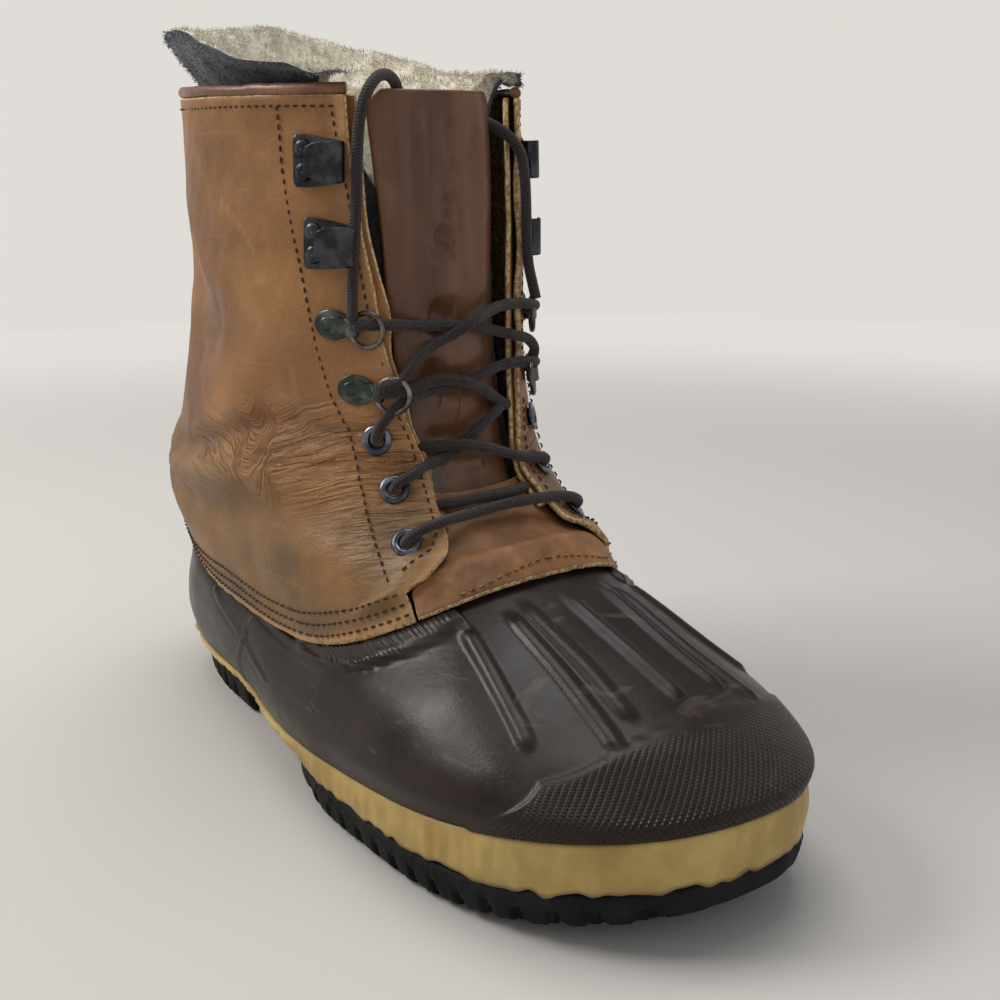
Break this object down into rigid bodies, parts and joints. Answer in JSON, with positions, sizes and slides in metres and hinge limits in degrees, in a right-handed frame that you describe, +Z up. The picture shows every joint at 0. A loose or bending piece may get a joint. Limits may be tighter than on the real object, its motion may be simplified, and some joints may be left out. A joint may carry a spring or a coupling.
{
  "type": "pac boot",
  "caption": "Right-foot felt-lined pac boot: cupped rubber bottom with lugged sole, laced leather shaft, tongue, speed hooks and lace rings.",
  "frame": {"origin": "centre of the bounding box on the floor plane", "axes": "+X to the toe, +Y to the wearer's left (inner side), +Z up"},
  "size_m": [0.339, 0.135, 0.2855],
  "materials": {
    "black_rubber": "matte",
    "cream_rubber": "satin",
    "brown_rubber": "semi-gloss",
    "tan_leather": "worn",
    "brown_leather": "smooth",
    "felt": "felted",
    "insole_felt": "felted",
    "gunmetal": "dark",
    "lace": "braided"
  },
  "bodies": {
    "root": {"outsole": "black_rubber", "foxing": "cream_rubber", "insole": "insole_felt", "rubber_shell": "brown_rubber", "shaft": "tan_leather", "vamp": "tan_leather", "tongue": "brown_leather", "collar_binding": "brown_leather", "facing_outer": "tan_leather", "eyelet_outer_1": "gunmetal", "eyelet_outer_2": "gunmetal", "eyelet_outer_3": "gunmetal", "hook_outer_1": "gunmetal", "hook_outer_2": "gunmetal", "ring_clip_outer_1": "gunmetal", "lace_ring_outer_1": "gunmetal", "ring_clip_outer_2": "gunmetal", "lace_ring_outer_2": "gunmetal", "facing_inner": "tan_leather", "eyelet_inner_1": "gunmetal", "eyelet_inner_2": "gunmetal", "eyelet_inner_3": "gunmetal", "hook_inner_1": "gunmetal", "hook_inner_2": "gunmetal", "ring_clip_inner_1": "gunmetal", "lace_ring_inner_1": "gunmetal", "ring_clip_inner_2": "gunmetal", "lace_ring_inner_2": "gunmetal", "liner": "felt", "lace_bar_1": "lace", "lace_bar_2": "lace", "lace_bar_3": "lace", "lace_bar_4": "lace", "lace_bar_5": "lace", "lace_end_outer": "lace", "lace_end_inner": "lace"}
  },
  "joints": []
}
